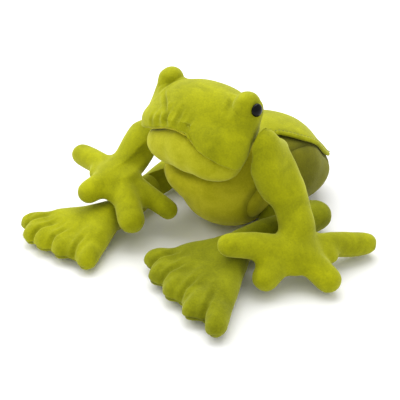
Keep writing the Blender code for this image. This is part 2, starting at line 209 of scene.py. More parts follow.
@dataclass(frozen=True)
class Knit:
    """Thin polyester tricot, circular knitted: fine ribs along the glove, matt."""

    name: str
    high: str
    low: str
    rib_mm: float = 1.8

    def made(self) -> bpy.types.Material:
        """Build the material."""
        made = bpy.data.materials.new(self.name)
        made.use_nodes = True
        tree = made.node_tree
        tree.nodes.clear()
        place = add_node(tree, "ShaderNodeTexCoord").outputs["Object"]
        rib = add_node(
            tree,
            "ShaderNodeTexWave",
            {"bands_direction": "X", "Scale": 0.314 / (self.rib_mm * MM), "Distortion": 0.4, "Detail Scale": 2.0},
            {"Vector": place},
        )
        colour = add_node(
            tree,
            "ShaderNodeMix",
            {"data_type": "RGBA", 6: linear(self.low), 7: linear(self.high)},
            {"Factor": rib.outputs["Fac"]},
        )
        bump = add_node(
            tree,
            "ShaderNodeBump",
            {"Strength": 0.6, "Distance": 0.4 * MM},
            {"Height": rib.outputs["Fac"]},
        )
        cloth = add_node(
            tree,
            "ShaderNodeBsdfPrincipled",
            {"Roughness": 0.8, "IOR": 1.45, "Sheen Weight": 0.25, "Sheen Roughness": 0.5},
            {"Base Color": colour.outputs[2], "Normal": bump.outputs["Normal"]},
        )
        add_node(tree, "ShaderNodeOutputMaterial", None, {"Surface": cloth.outputs["BSDF"]})
        return made


@dataclass(frozen=True)
class Moulded:
    """An injection-moulded plastic part; the mould's polish decides its gloss."""

    name: str
    colour: str
    worn: str
    roughness: float
    gloss: float = 0.5  # how much light its surface throws back, 0.5 as bare plastic
    cloud_mm: float = 3.0

    def made(self) -> bpy.types.Material:
        """Build the material."""
        made = bpy.data.materials.new(self.name)
        made.use_nodes = True
        tree = made.node_tree
        tree.nodes.clear()
        place = add_node(tree, "ShaderNodeTexCoord").outputs["Object"]
        cloud = add_node(
            tree,
            "ShaderNodeTexNoise",
            {"Scale": 1 / (self.cloud_mm * MM), "Detail": 2.0},
            {"Vector": place},
        )
        colour = add_node(
            tree,
            "ShaderNodeMix",
            {"data_type": "RGBA", 6: linear(self.colour), 7: linear(self.worn)},
            {"Factor": cloud.outputs["Fac"]},
        )
        plastic = add_node(
            tree,
            "ShaderNodeBsdfPrincipled",
            {"Roughness": self.roughness, "IOR": 1.5, "Specular IOR Level": self.gloss},
            {"Base Color": colour.outputs[2]},
        )
        add_node(tree, "ShaderNodeOutputMaterial", None, {"Surface": plastic.outputs["BSDF"]})
        return made


GREEN_VELOUR = Velour("lime_velour", laid="#868900", brushed="#a8aa04", painted_shade_colour="#3c4000", sheen=0.42)
PALE_VELOUR = Velour("throat_velour", laid="#a5a40a", brushed="#c0be28", painted_shade_colour="#4c5000", sheen=0.5)
BELLY_VELOUR = Velour("belly_velour", laid="#a8a40a", brushed="#c4be24", painted_shade_colour="#4c4c00", sheen=0.4)
# a darker copy of the velour for the side panels' rear: painted shade, not a different cloth
SHADED_SIDE_VELOUR = Velour("shaded_side_velour", laid="#565600", brushed="#706e00", painted_shade_colour="#343500", sheen=0.3)
# a darker copy of the velour for the left leg and foot: painted shade, not a different cloth
SHADED_FOOT_VELOUR = Velour("shaded_foot_velour", laid="#6f7300", brushed="#8e9206", painted_shade_colour="#333600", sheen=0.4)
LINING_KNIT = Knit("lining_tricot", high="#9aa04a", low="#6a7024")
THREAD = Knit("polyester_thread", high="#8d9020", low="#6d700e", rib_mm=0.6)
EYE_PLASTIC = Moulded("polished_black_acrylic", colour="#040404", worn="#060606", roughness=0.06, gloss=0.15)
WASHER_PLASTIC = Moulded("milky_polyethylene", colour="#d8d8d0", worn="#c8c8be", roughness=0.45)


# ---------------------------------------------------------------- cloth work


@dataclass(frozen=True)
class Ball:
    """Filling that pushes a skin out as an ellipsoid."""

    centre: Point
    radii: Point


@dataclass(frozen=True)
class Tube:
    """Filling that pushes a skin out as a tapered, round-ended tube."""

    start: Point
    end: Point
    r_start: float
    r_end: float


@dataclass(frozen=True)
class Filling:
    """How a skin is stuffed: its pressure, and how far the cloth may move while it swells."""

    pressure: float = 4.0
    frames: int = 20
    cap_mm: float = 4.0


def linked(name: str, bm: bmesh.types.BMesh) -> Obj:
    """Make an object from a bmesh and put it in the scene."""
    mesh = bpy.data.meshes.new(name)
    bm.to_mesh(mesh)
    bm.free()
    obj = bpy.data.objects.new(name, mesh)
    bpy.context.scene.collection.objects.link(obj)
    return obj


def applied(obj: Obj) -> Obj:
    """Swap the mesh for its evaluated one and drop the modifiers."""
    graph = bpy.context.evaluated_depsgraph_get()
    obj.data = bpy.data.meshes.new_from_object(obj.evaluated_get(graph))
    obj.modifiers.clear()
    return obj


def add_cone(bm: bmesh.types.BMesh, tube: Tube, grow: float) -> None:
    """Add a tube's tapered wall to a bmesh.

    Args:
        bm: Where it goes.
        tube: The tube.
        grow: How much its radii gain.
    """
    start, end = Vector(tube.start), Vector(tube.end)
    along = end - start
    turn = along.to_track_quat("Z", "Y").to_matrix().to_4x4()
    bmesh.ops.create_cone(
        bm,
        cap_ends=True,
        segments=32,
        radius1=(tube.r_start + grow) * MM,
        radius2=(tube.r_end + grow) * MM,
        depth=along.length * MM,
        matrix=Matrix.Translation((start + end) / 2 * MM) @ turn,
    )


def add_ball(bm: bmesh.types.BMesh, ball: Ball, grow: float) -> None:
    """Add an ellipsoid to a bmesh, its radii enlarged by grow."""
    size = [(r + grow) * MM for r in ball.radii]
    place = Matrix.Translation(Vector(ball.centre) * MM) @ Matrix.Diagonal((*size, 1))
    bmesh.ops.create_icosphere(bm, subdivisions=4, radius=1.0, matrix=place)


def remeshed(obj: Obj, voxel: float, relax: int) -> Obj:
    """Cover a mesh with one even skin and let it relax.

    Args:
        obj: The mesh.
        voxel: The new faces' size.
        relax: How often the skin is smoothed.

    Returns:
        The same object.
    """
    skin = obj.modifiers.new("skin", "REMESH")
    skin.mode = "VOXEL"
    skin.voxel_size = voxel * MM
    smooth = obj.modifiers.new("relax", "SMOOTH")
    smooth.factor = 0.5
    smooth.iterations = relax
    return applied(obj)


def skinned(
    name: str,
    fillings: Sequence[Ball | Tube],
    voxel: float = 4.0,
    relax: int = 5,
    grow: float = 0.0,
) -> Obj:
    """One skin around balls and tubes, its creases filled as stuffing does.

    Args:
        name: The new object's name.
        fillings: The balls and tubes.
        voxel: The faces' size.
        relax: How often the skin is smoothed.
        grow: How much every radius gains.

    Returns:
        The new object.
    """
    bm = bmesh.new()
    for filling in fillings:
        if isinstance(filling, Ball):
            add_ball(bm, filling, grow)
        else:
            add_ball(bm, Ball(filling.start, (filling.r_start,) * 3), grow)
            add_ball(bm, Ball(filling.end, (filling.r_end,) * 3), grow)
            add_cone(bm, filling, grow)
    return remeshed(linked(name, bm), voxel, relax)


def points_of(mesh: bpy.types.Mesh) -> np.ndarray:
    """A mesh's points in millimetres, one row each."""
    flat = np.empty(len(mesh.vertices) * 3)
    mesh.vertices.foreach_get("co", flat)
    return flat.reshape(-1, 3) / MM


def swollen(obj: Obj, filling: Filling) -> Obj:
    """Press a skin out from inside with cloth simulation, and keep the result.

    Args:
        obj: The closed skin, a little smaller than it should end.
        filling: The pressure and its cap.

    Returns:
        The same object, with no Cloth left on it.
    """
    before = points_of(obj.data)
    cloth = obj.modifiers.new("cloth", "CLOTH")
    cloth.settings.use_pressure = True
    cloth.settings.uniform_pressure_force = filling.pressure
    cloth.settings.quality = 5
    cloth.settings.mass = 0.3
    cloth.settings.tension_stiffness = 12.0
    cloth.settings.compression_stiffness = 12.0
    cloth.settings.bending_stiffness = 0.3
    cloth.settings.effector_weights.gravity = 0.0
    cloth.collision_settings.use_collision = False
    cloth.collision_settings.use_self_collision = False
    cloth.point_cache.frame_start = 1
    cloth.point_cache.frame_end = filling.frames
    for frame in range(1, filling.frames + 1):
        bpy.context.scene.frame_set(frame)
    graph = bpy.context.evaluated_depsgraph_get()
    after = points_of(obj.evaluated_get(graph).data)
    obj.modifiers.clear()
    bpy.context.scene.frame_set(1)
    moved = after - before
    far = np.linalg.norm(moved, axis=1, keepdims=True)
    moved *= np.minimum(1.0, filling.cap_mm / np.maximum(far, 1e-6))
    obj.data.vertices.foreach_set("co", ((before + moved) * MM).ravel())
    obj.data.update()
    return obj


def finer(obj: Obj, levels: int = 1) -> Obj:
    """Split a skin's faces for sewing detail."""
    split = obj.modifiers.new("finer", "SUBSURF")
    split.levels = levels
    split.render_levels = levels
    return applied(obj)


def combined(obj: Obj, tool: Obj, operation: str) -> Obj:
    """Cut, keep or join one closed mesh with another, which is used up.

    Args:
        obj: The mesh that stays.
        tool: The other mesh.
        operation: DIFFERENCE, INTERSECT or UNION.

    Returns:
        The first object.
    """
    boolean = obj.modifiers.new("cut", "BOOLEAN")
    boolean.operation = operation
    boolean.solver = "MANIFOLD"
    boolean.object = tool
    applied(obj)
    bpy.data.objects.remove(tool)
    return obj


def twin(obj: Obj, name: str) -> Obj:
    """A copy of an object with its own mesh."""
    made = bpy.data.objects.new(name, obj.data.copy())
    bpy.context.scene.collection.objects.link(made)
    return made


def trimmed(obj: Obj, place: Point | Vector, away: Point | Vector) -> Obj:
    """Cut off what lies on one side of a plane and sew the cut shut.

    Args:
        obj: The closed skin.
        place: A point on the plane.
        away: The plane's direction, towards what is cut off.

    Returns:
        The same object. The cut's edge is sharp, so the skin beside it shades as before.
    """
    bm = bmesh.new()
    bm.from_mesh(obj.data)
    bmesh.ops.bisect_plane(
        bm,
        geom=list(bm.verts) + list(bm.edges) + list(bm.faces),
        dist=1e-7,
        plane_co=Vector(place) * MM,
        plane_no=Vector(away),
        clear_outer=True,
    )
    rim = [e for e in bm.edges if e.is_boundary]
    lids = bmesh.ops.holes_fill(bm, edges=rim, sides=0)["faces"]
    bmesh.ops.recalc_face_normals(bm, faces=bm.faces)
    for lid in lids:
        for edge in lid.edges:
            edge.smooth = False
    bmesh.ops.triangulate(bm, faces=lids)
    bm.to_mesh(obj.data)
    bm.free()
    return obj


class Sculpt:
    """A skin's points while seams, folds and dimples are worked into it."""

    def __init__(self, obj: Obj) -> None:
        """Start on an object.

        Args:
            obj: The skin.
        """
        self.obj = obj
        # how much painted shade each point gets, darkest in creases
        self.painted_shade = np.zeros(len(obj.data.vertices))
        self.refresh()

    def refresh(self) -> None:
        """Take the points and normals from the mesh again."""
        self.points = points_of(self.obj.data)
        flat = np.empty(len(self.obj.data.vertices) * 3)
        self.obj.data.vertex_normals.foreach_get("vector", flat)
        self.normals = flat.reshape(-1, 3)

    def write(self) -> None:
        """Put the points and the painted shade attribute back on the mesh."""
        mesh = self.obj.data
        mesh.vertices.foreach_set("co", (self.points * MM).ravel())
        kept = mesh.attributes.get("painted_shade") or mesh.attributes.new("painted_shade", "FLOAT", "POINT")
        kept.data.foreach_set("value", np.clip(self.painted_shade, 0, 1).astype(np.float32))
        mesh.update()
        self.refresh()

    def on_surface(self, line: Sequence[Point], step: float = 3.0) -> np.ndarray:
        """A line laid on the skin.

        Args:
            line: Its rough points.
            step: How far apart its new points are.

        Returns:
            The points on the skin.
        """
        graph = bpy.context.evaluated_depsgraph_get()
        tree = BVHTree.FromObject(self.obj, graph)
        laid = []
        for a, b in zip(line[:-1], line[1:]):
            a, b = Vector(a), Vector(b)
            parts = max(1, int((b - a).length / step))
            laid += [a.lerp(b, k / parts) for k in range(parts)]
        laid.append(Vector(line[-1]))
        found = [tree.find_nearest(p * MM)[0] for p in laid]
        return np.array([list(p / MM) for p in found])

    def gap_to(self, line: np.ndarray) -> np.ndarray:
        """Every point's distance to a polyline."""
        best = np.full(len(self.points), 1e9)
        for a, b in zip(line[:-1], line[1:]):
            along = b - a
            length = max(float(along @ along), 1e-9)
            part = np.clip((self.points - a) @ along / length, 0, 1)
            near = a + part[:, None] * along
            best = np.minimum(best, np.linalg.norm(self.points - near, axis=1))
        return best

    def groove(
        self,
        line: Sequence[Point],
        width: float,
        depth: float,
        rise: float = 0.35,
        fade: float = 0.0,
        shade: float = 0.75,
    ) -> None:
        """Sew a line down into the skin, so that the filling rises on both sides.

        Args:
            line: The line's rough points.
            width: The half width of the groove.
            depth: Its depth.
            rise: The height of its shoulders as a share of the depth.
            fade: How far from each end it runs out.
            shade: How much painted shade its crease gets.
        """
        laid = self.on_surface(line)
        gap = self.gap_to(laid)
        ends = np.ones(len(self.points))
        if fade:
            for end in (laid[0], laid[-1]):
                away = np.linalg.norm(self.points - end, axis=1)
                ends *= np.clip(away / fade, 0, 1)
        core = np.exp(-((gap / width) ** 2)) * ends
        shoulder = np.exp(-(((gap - 2.1 * width) / (1.1 * width)) ** 2)) * ends
        self.points += self.normals * (rise * depth * shoulder - depth * core)[:, None]
        self.painted_shade += shade * core
        self.write()

    def dimple(self, centre: Point, radius: float, depth: float, shade: float = 0.0) -> None:
        """Press the skin in round a point, or out where the depth is negative.

        Args:
            centre: The point.
            radius: How wide it is.
            depth: How deep it is.
            shade: How much painted shade its hollow gets.
        """
        away = np.linalg.norm(self.points - np.array(centre), axis=1)
        core = np.exp(-((away / radius) ** 2))
        self.points -= self.normals * (depth * core)[:, None]
        self.painted_shade += shade * core
        self.write()

    def waved(self, size: float, height: float, seed: int) -> None:
        """Uneven filling: long soft waves over the skin.

        Args:
            size: The waves' length.
            height: Their height.
            seed: Which of many it is.
        """
        chance = np.random.default_rng(seed)
        total = np.zeros(len(self.points))
        for _ in range(10):
            way = chance.normal(size=3)
            way /= np.linalg.norm(way)
            length = size * chance.uniform(0.7, 1.6)
            total += np.sin(self.points @ way * 2 * pi / length + chance.uniform(0, 2 * pi))
        self.points += self.normals * (height * total / 3.2)[:, None]
        self.write()

    def rested(self, floor: float = 0.0) -> None:
        """Flatten what is below the floor onto it."""
        self.points[:, 2] = np.maximum(self.points[:, 2], floor)
        self.write()

    def pushed_out_of(self, other: Obj, gap: float, reach: float = 16.0) -> None:
        """Press the skin in where it would lie inside another piece.

        Args:
            other: The other piece, a closed mesh.
            gap: What stays between them.
            reach: The deepest overlap that is pressed out.
        """
        graph = bpy.context.evaluated_depsgraph_get()
        tree = BVHTree.FromObject(other, graph)
        low = np.array([list(c) for c in other.bound_box]).min(axis=0) / MM - gap
        high = np.array([list(c) for c in other.bound_box]).max(axis=0) / MM + gap
        inside = np.all((self.points > low) & (self.points < high), axis=1)
        for k in np.nonzero(inside)[0]:
            p = Vector(self.points[k]) * MM
            near, normal, _, away = tree.find_nearest(p, reach * MM)
            if near is None:
                continue
            depth = (p - near).dot(normal) / MM
            if depth < gap:
                self.points[k] = list((near + normal * gap * MM) / MM)
                # painted shade where the skin lies against the other piece
                self.painted_shade[k] = min(1.0, self.painted_shade[k] + 0.35)
        self.write()


def seen_smooth(obj: Obj) -> None:
    """Shade a mesh smooth, apart from its sharp edges."""
    obj.data.polygons.foreach_set("use_smooth", [True] * len(obj.data.polygons))
    obj.data.update()


def turned_profile(
    name: str,
    profile: Sequence[tuple[float, float]],
    centre: Vector,
    axis: Vector,
    steps: int = 48,
) -> Obj:
    """A closed body turned from a profile.

    Args:
        name: The new object's name.
        profile: Radius and height pairs. Where the first and last differ they lie on the axis.
        centre: Where height zero is.
        axis: The direction of height.
        steps: The faces round it.

    Returns:
        The new object.
    """
    bm = bmesh.new()
    rings = []
    for radius, height in profile:
        if radius < 1e-6:
            rings.append([bm.verts.new((0, 0, height * MM))])
            continue
        turns = [2 * pi * k / steps for k in range(steps)]
        rings.append([bm.verts.new((radius * cos(t) * MM, radius * sin(t) * MM, height * MM)) for t in turns])
    for low, high in zip(rings[:-1], rings[1:]):
        for k in range(steps):
            n = (k + 1) % steps
            corners = [low[k % len(low)], low[n % len(low)], high[n % len(high)], high[k % len(high)]]
            face = list(dict.fromkeys(corners))
            if len(face) > 2:
                bm.faces.new(face)
    if len(rings[0]) > 1:
        for k in range(steps):
            n = (k + 1) % steps
            bm.faces.new((rings[-1][k], rings[-1][n], rings[0][n], rings[0][k]))
    bmesh.ops.recalc_face_normals(bm, faces=bm.faces)
    turn = axis.to_track_quat("Z", "Y").to_matrix().to_4x4()
    bm.transform(Matrix.Translation(centre * MM) @ turn)
    return linked(name, bm)


def rolled(
    name: str,
    path: np.ndarray,
    wide: float,
    thick: float,
    closed: bool,
    outward: np.ndarray,
) -> Obj:
    """A flattened roll of cloth along a path.

    Args:
        name: The new object's name.
        path: The points it follows.
        wide: Its half width along the skin.
        thick: Its half height off the skin.
        closed: Whether it ends where it starts.
        outward: The skin's normal at each point.

    Returns:
        The new object.
    """
    bm = bmesh.new()
    count, around = len(path), 12
    rings = []
    for k in range(count):
        before = path[k - 1] if closed or k else path[0]
        after = path[(k + 1) % count] if closed or k < count - 1 else path[-1]
        along = Vector(after - before).normalized()
        up = Vector(outward[k])
        up = (up - along * up.dot(along)).normalized()
        across = along.cross(up)
        ring = []
        for j in range(around):
            t = 2 * pi * j / around
            ring.append(bm.verts.new((Vector(path[k]) + across * wide * cos(t) + up * thick * sin(t)) * MM))
        rings.append(ring)
    spans = count if closed else count - 1
    for k in range(spans):
        a, b = rings[k], rings[(k + 1) % count]
        for j in range(around):
            n = (j + 1) % around
            bm.faces.new((a[j], a[n], b[n], b[j]))
    if not closed:
        bm.faces.new(rings[0])
        bm.faces.new(rings[-1])
    bmesh.ops.recalc_face_normals(bm, faces=bm.faces)
    return linked(name, bm)


@dataclass
class Stitches:
    """A row of sewing-machine stitches laid along a path by geometry nodes."""

    pitch_mm: float = 4.2
    length_mm: float = 3.0
    thread_mm: float = 0.7
    _tree: bpy.types.NodeTree | None = field(default=None, repr=False)

    def tree(self) -> bpy.types.NodeTree:
        """Build the node tree once.

        Returns:
            The tree: it resamples the path and puts a stretched bead on every point.
        """
        if self._tree is not None:
            return self._tree
        tree = bpy.data.node_groups.new("stitch_row", "GeometryNodeTree")
        face = tree.interface
        face.new_socket("Geometry", in_out="INPUT", socket_type="NodeSocketGeometry")
        for name in ("Pitch", "Length", "Thread"):
            face.new_socket(name, in_out="INPUT", socket_type="NodeSocketFloat")
        face.new_socket("Cotton", in_out="INPUT", socket_type="NodeSocketMaterial")
        face.new_socket("Geometry", in_out="OUTPUT", socket_type="NodeSocketGeometry")
        given = add_node(tree, "NodeGroupInput")
        line = add_node(tree, "GeometryNodeMeshToCurve", None, {"Mesh": given.outputs["Geometry"]})
        row = add_node(
            tree,
            "GeometryNodeResampleCurve",
            {"mode": "LENGTH"},
            {"Curve": line.outputs["Curve"], "Length": given.outputs["Pitch"]},
        )
        bead = add_node(tree, "GeometryNodeMeshUVSphere", {"Segments": 6, "Rings": 4, "Radius": 0.5})
        tangent = add_node(tree, "GeometryNodeInputTangent")
        turn = add_node(
            tree,
            "FunctionNodeAlignRotationToVector",
            {"axis": "X"},
            {"Vector": tangent.outputs["Tangent"]},
        )
        size = add_node(
            tree,
            "ShaderNodeCombineXYZ",
            None,
            {0: given.outputs["Length"], 1: given.outputs["Thread"], 2: given.outputs["Thread"]},
        )
        beads = add_node(
            tree,
            "GeometryNodeInstanceOnPoints",
            None,
            {
                "Points": row.outputs["Curve"],
                "Instance": bead.outputs["Mesh"],
                "Rotation": turn.outputs["Rotation"],
                "Scale": size.outputs["Vector"],
            },
        )
        real = add_node(tree, "GeometryNodeRealizeInstances", None, {"Geometry": beads.outputs["Instances"]})
        dyed = add_node(
            tree,
            "GeometryNodeSetMaterial",
            None,
            {"Geometry": real.outputs["Geometry"], "Material": given.outputs["Cotton"]},
        )
        add_node(tree, "NodeGroupOutput", None, {"Geometry": dyed.outputs["Geometry"]})
        self._tree = tree
        return tree

    def sewn(self, name: str, path: np.ndarray, thread: bpy.types.Material) -> Obj:
        """Sew one row.

        Args:
            name: The new object's name.
            path: The points it follows, on the skin.
            thread: The thread's material.

        Returns:
            The row as one plain mesh.
        """
        bm = bmesh.new()
        knots = [bm.verts.new(Vector(p) * MM) for p in path]
        for a, b in zip(knots[:-1], knots[1:]):
            bm.edges.new((a, b))
        row = linked(name, bm)
        nodes = row.modifiers.new("stitches", "NODES")
        nodes.node_group = self.tree()
        values = {
            "Pitch": self.pitch_mm * MM,
            "Length": self.length_mm * MM,
            "Thread": self.thread_mm * MM,
            "Cotton": thread,
        }
        for socket in self.tree().interface.items_tree:
            if socket.in_out == "INPUT" and socket.name in values:
                nodes[socket.identifier] = values[socket.name]
        applied(row)
        seen_smooth(row)
        return row


class Workshop:
    """The materials, and the last steps that every piece goes through."""

    def __init__(self) -> None:
        """Build every finish once."""
        self.green = GREEN_VELOUR.made()
        self.pale = PALE_VELOUR.made()
        self.belly = BELLY_VELOUR.made()
        # darker copy for the side panels' rear: painted shade
        self.side = SHADED_SIDE_VELOUR.made()
        # darker copy for the left leg: painted shade
        self.foot = SHADED_FOOT_VELOUR.made()
        self.lining = LINING_KNIT.made()
        self.thread = THREAD.made()
        self.eye = EYE_PLASTIC.made()
        self.washer = WASHER_PLASTIC.made()
        self.stitches = Stitches()

    def dressed(self, obj: Obj, material: bpy.types.Material, stands_for: Sequence[str] = ()) -> Obj:
        """Give a piece its material and hide the CAD nodes it stands for.

        Args:
            obj: The finished piece.
            material: Its material.
            stands_for: The CAD nodes it replaces.

        Returns:
            The same object.
        """
        obj.data.materials.clear()
        obj.data.materials.append(material)
        if "painted_shade" not in obj.data.attributes:
            obj.data.attributes.new("painted_shade", "FLOAT", "POINT")
        seen_smooth(obj)
        if stands_for:
            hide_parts(*stands_for)
        LOG.info("%s: %d faces", obj.name, len(obj.data.polygons))
        return obj


# ---------------------------------------------------------------- the frog

NECK = Vector((0, -34, 92))
NECK_ROOM = 36.0


def around_neck(angle: float) -> Vector:
    """The direction at an angle round the neck, seen from the left: 0 is forward, 90 is up."""
    return Vector((0, -cos(radians(angle)), sin(radians(angle))))


@dataclass
class Torso:
    """The stuffed body: back cover, belly and side panels, hem, rear opening and glove lining."""

    balls: tuple[Ball, ...] = (
        Ball((0, 36, 48), (70, 77, 53)),
        Ball((0, 66, 37), (66, 59, 40)),
        Ball((0, -4, 52), (60, 46, 57)),
        Ball((6, -22, 42), (52, 43, 39)),
        Ball((-9, -31, 57), (50, 42, 30)),
    )
    hem_front: Vector = field(default_factory=lambda: Vector((0, -18, 104)))
    hem_rear: Vector = field(default_factory=lambda: Vector((0, 104, 48)))
    bow_rise: float = 12.0
    bow_middle: float = 50.0
    bow_reach: float = 34.0
    hem_half_width: float = 2.9
    hem_half_height: float = 1.9
    belly_half_width: float = 50.0
    belly_top: float = 67.5
    belly_rear: float = -8.0  # behind this the panels under the hem take a darker copy of their velour: painted shade
    yoke_top: float = 152.0
    yoke_low: float = -84.0
    passage_rear: Vector = field(default_factory=lambda: Vector((0, 128, 18)))
    passage_wide: float = 30.0
    passage_high: float = 12.0
    passage_front: float = 30.0
    lining_thick: float = 1.4

    def head_room(self) -> Obj:
        """The wedge in front of the yoke and over the belly, which the head fills."""
        bm = bmesh.new()
        steps = 8
        angles = [self.yoke_low + (self.yoke_top - self.yoke_low) * k / steps for k in range(steps + 1)]
        outline = [NECK] + [NECK + around_neck(a) * 2 * FAR for a in angles]
        face = bm.faces.new([bm.verts.new(Vector((-FAR, p.y, p.z)) * MM) for p in outline])
        swept = bmesh.ops.extrude_face_region(bm, geom=[face])
        moved = [v for v in swept["geom"] if isinstance(v, bmesh.types.BMVert)]
        bmesh.ops.translate(bm, verts=moved, vec=(2 * FAR * MM, 0, 0))
        bmesh.ops.recalc_face_normals(bm, faces=bm.faces)
        room = linked("head_room", bm)
        return trimmed(room, (0, 0, self.belly_top), (0, 0, -1))

    def passage(self, name: str, grow: float, steps: int = 48) -> Obj:
        """The tapered way of the hand from the rear opening to the neck.

        Args:
            name: The new object's name.
            grow: How much its radii gain.
            steps: The faces round it.

        Returns:
            A closed solid.
        """
        bm = bmesh.new()
        rings = []
        stops = 12
        for k in range(stops + 1):
            part = k / stops
            centre = self.passage_rear.lerp(NECK, part)
            wide = self.passage_wide + (self.passage_front - self.passage_wide) * part + grow
            high = self.passage_high + (self.passage_front - self.passage_high) * part + grow
            turns = [2 * pi * j / steps for j in range(steps)]
            rings.append([bm.verts.new((centre + Vector((wide * cos(t), 0, high * sin(t)))) * MM) for t in turns])
        for a, b in zip(rings[:-1], rings[1:]):
            for j in range(steps):
                n = (j + 1) % steps
                bm.faces.new((a[j], a[n], b[n], b[j]))
        bm.faces.new(rings[0])
        bm.faces.new(rings[-1])
        bmesh.ops.recalc_face_normals(bm, faces=bm.faces)
        return linked(name, bm)

    def whole(self) -> Obj:
        """The whole stuffed body in one skin, seated flat, its corners soft."""
        body = skinned("torso_whole", self.balls, voxel=4.5, relax=6, grow=-1.5)
        combined(body, self.head_room(), "DIFFERENCE")
        remeshed(body, 4.2, 8)
        swollen(body, Filling(cap_mm=3.0))
        finer(body)
        shaped = Sculpt(body)
        shaped.waved(55, 0.5, 3)
        shaped.rested()
        return body

    def bow(self, y: np.ndarray) -> np.ndarray:
        """How far the hem arches above its straight line, at each y."""
        return self.bow_rise * np.exp(-(((y - self.bow_middle) / self.bow_reach) ** 4))

    def bowed(self, obj: Obj, way: int) -> Obj:
        """Shift a skin so that the arched hem lies in one plane (-1), or back again (+1)."""
        shaped = Sculpt(obj)
        shaped.points[:, 2] += way * self.bow(shaped.points[:, 1])
        mesh = obj.data
        mesh.vertices.foreach_set("co", (shaped.points * MM).ravel())
        mesh.update()
        return obj

    def square(self) -> Vector:
        """The hem plane's upward direction."""
        along = (self.hem_rear - self.hem_front).normalized()
        return Vector((0, -along.z, along.y))

    def hem_path(self, body: Obj) -> tuple[np.ndarray, np.ndarray]:
        """Where the hem plane meets the skin, from one shoulder round the back to the other.

        Args:
            body: The whole body.

        Returns:
            The path's points and the skin's outward direction at each.
        """
        graph = bpy.context.evaluated_depsgraph_get()
        tree = BVHTree.FromObject(body, graph)
        along = (self.hem_rear - self.hem_front).normalized()
        middle = self.hem_front.lerp(self.hem_rear, 0.46)
        path, outward = [], []
        for k in range(97):
            turn = radians(-128 + 256 * k / 96)
            way = Vector((sin(turn), 0, 0)) + along * cos(turn)
            hit, normal, _, _ = tree.ray_cast(middle * MM + way * FAR * MM, -way)
            if hit is not None:
                path.append(list(hit / MM))
                outward.append(list(normal))
        return np.array(path), np.array(outward)

    def build(self, shop: Workshop, shins: Sequence[Obj]) -> None:
        """Make and dress every piece of the torso.

        Args:
            shop: The materials.
            shins: The shins that lie against the body.
        """
        body = self.whole()
        pressed = Sculpt(body)
        for shin in shins:
            pressed.pushed_out_of(shin, 1.0)
        up = self.square()
        self.bowed(body, -1)
        path, outward = self.hem_path(body)
        path[:, 2] += self.bow(path[:, 1])
        shaped = Sculpt(body)
        off = (shaped.points - np.array(self.hem_front)) @ np.array(up)
        near = np.exp(-((off / 9.0) ** 2))
        shaped.points += shaped.normals * (np.where(off > 0, 1.6, -2.2) * near)[:, None]
        # painted shade: a dark line under the hem's roll, fainter above it
        shaped.painted_shade += np.where(off < 0, 0.8, 0.15) * np.exp(-((off / 4.0) ** 2))
        beside = np.abs(np.abs(shaped.points[:, 0]) - self.belly_half_width)
        lower = np.clip(-off / 6.0, 0, 1)
        seam = np.exp(-((beside / 1.8) ** 2)) * lower
        shaped.points -= shaped.normals * (0.9 * seam)[:, None]
        shaped.points += shaped.normals * (0.4 * np.exp(-(((beside - 5) / 3.0) ** 2)) * lower)[:, None]
        # painted shade along the belly's side seams
        shaped.painted_shade += 0.45 * seam
        shaped.write()

        cover = trimmed(twin(body, "back_cover_skin"), self.hem_front + up * 0.2, -up)
        low = trimmed(twin(body, "lower"), self.hem_front - up * 0.2, up)
        w = self.belly_half_width
        belly = trimmed(trimmed(twin(low, "belly_skin"), (w - 0.2, 0, 0), (1, 0, 0)), (0.2 - w, 0, 0), (-1, 0, 0))
        left = trimmed(twin(low, "side_skin_left"), (w + 0.2, 0, 0), (-1, 0, 0))
        right = trimmed(twin(low, "side_skin_right"), (-w - 0.2, 0, 0), (1, 0, 0))
        outer = twin(body, "outer")
        for spare in (body, low):
            bpy.data.objects.remove(spare)
        for piece in (cover, belly, left, right, outer):
            self.bowed(piece, 1)
        for piece in (cover, belly):
            combined(piece, self.passage("hole", self.lining_thick + 0.6), "DIFFERENCE")
        lining = self.passage("glove_lining_knit", self.lining_thick)
        combined(lining, self.passage("bore", 0.0), "DIFFERENCE")
        combined(lining, outer, "INTERSECT")

        shop.dressed(cover, shop.green, ["back_cover", "stuffing"])
        for panel, node in ((belly, "belly_panel"), (left, "side_panel_left"), (right, "side_panel_right")):
            shop.dressed(panel, shop.belly, [node])
            # behind belly_rear each panel takes the darker copy, which paints shade on it
            panel.data.materials.append(shop.side)
            for face in panel.data.polygons:
                face.material_index = int(face.center.y > self.belly_rear * MM)
        shop.dressed(lining, shop.lining, ["glove_lining"])
        hem = rolled("hem_roll", path + outward * 0.6, self.hem_half_width, self.hem_half_height, False, outward)
        shop.dressed(hem, shop.green, ["hem_binding"])
        lift = path + outward * (self.hem_half_height + 0.9) + np.array(up) * 1.0
        row = shop.stitches.sewn("hem_stitches", lift, shop.thread)
        rim = self.rear_rim()
        shop.dressed(rim, shop.green)
        for piece in (cover, belly, left, right, lining, hem, row, rim):
            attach(piece, "torso")

    def rear_rim(self) -> Obj:
        """The bound edge of the rear opening."""
        steps = 64
        turns = [2 * pi * k / steps for k in range(steps)]
        part = 0.1  # how far in from the passage's rear end it sits
        centre = self.passage_rear.lerp(NECK, part)
        wide = self.passage_wide
        high = self.passage_high + (self.passage_front - self.passage_high) * part
        path = np.array([list(centre + Vector((wide * cos(t), 0, high * sin(t)))) for t in turns])
        outward = np.array([[0, 1, 0]] * len(turns))
        return rolled("opening_binding", path, 2.2, 2.0, True, outward)


